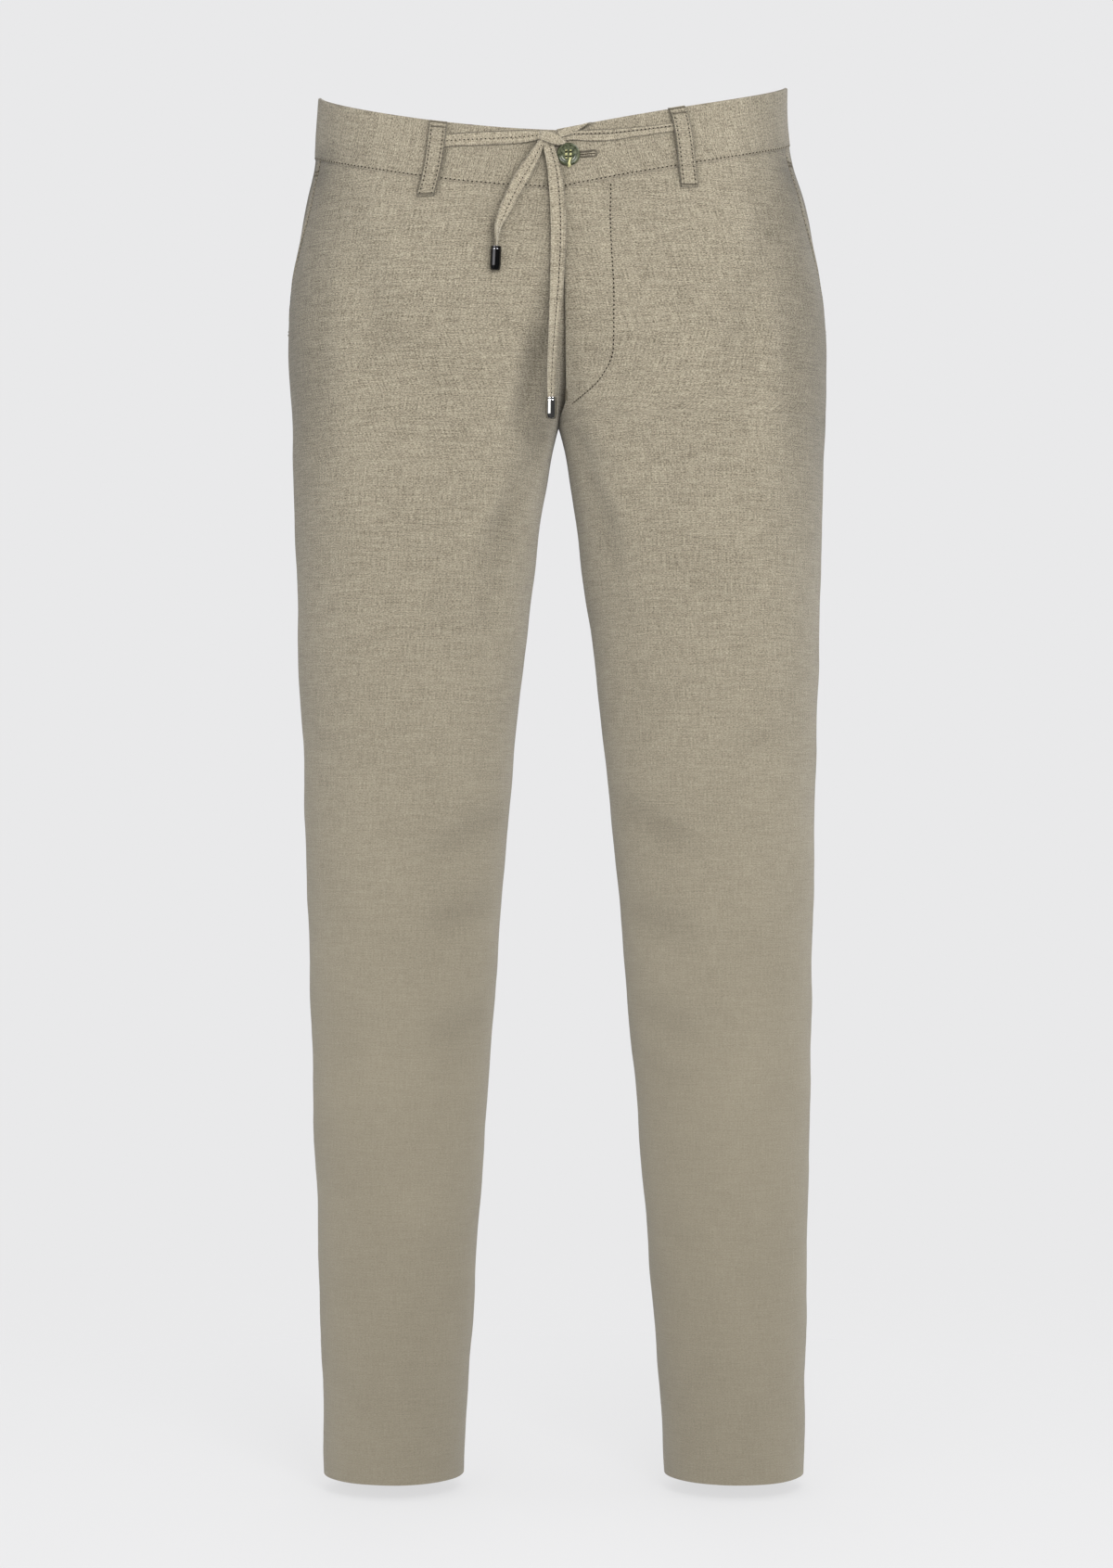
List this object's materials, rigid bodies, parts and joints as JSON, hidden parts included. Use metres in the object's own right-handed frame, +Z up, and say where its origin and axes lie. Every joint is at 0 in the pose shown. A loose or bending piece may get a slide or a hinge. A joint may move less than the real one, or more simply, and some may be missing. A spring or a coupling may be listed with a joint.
{
  "type": "chinos with drawstring waist",
  "caption": "Straight-leg chinos filled out as if worn, with a buttoned fly front, slanted side pockets, belt loops and a flat tied drawstring with metal ends; open at the waist and both hems.",
  "frame": {"origin": "centre of the waist opening, on the waistband, where a wearer holds the garment up", "axes": "+Z up towards the waist opening, the front faces -Y, +X towards the wearer's left"},
  "size_m": [0.4041, 0.248, 1.0447],
  "materials": {
    "cloth": "matt plain weave, taupe melange with fine slubs",
    "cord": "matt, flat tube of the same cloth",
    "tip_bright": "polished",
    "tip_dark": "polished dark nickel",
    "button": "satin, marbled olive green"
  },
  "bodies": {
    "root": {"front_right": "cloth", "front_left": "cloth", "back_right": "cloth", "back_left": "cloth", "pocket_facing_right": "cloth", "pocket_facing_left": "cloth", "waistband_right": "cloth", "waistband_left": "cloth", "belt_loop_front_right": "cloth", "belt_loop_front_left": "cloth", "belt_loop_back_right": "cloth", "belt_loop_back_left": "cloth", "belt_loop_centre_back": "cloth", "drawstring_right_band": "cord", "drawstring_left_band": "cord", "drawstring_knot": "cord", "drawstring_tuck": "cord", "drawstring_long_end": "cord", "drawstring_short_end": "cord", "tip_long": "tip_bright", "tip_short": "tip_dark", "button": "button"}
  },
  "joints": []
}
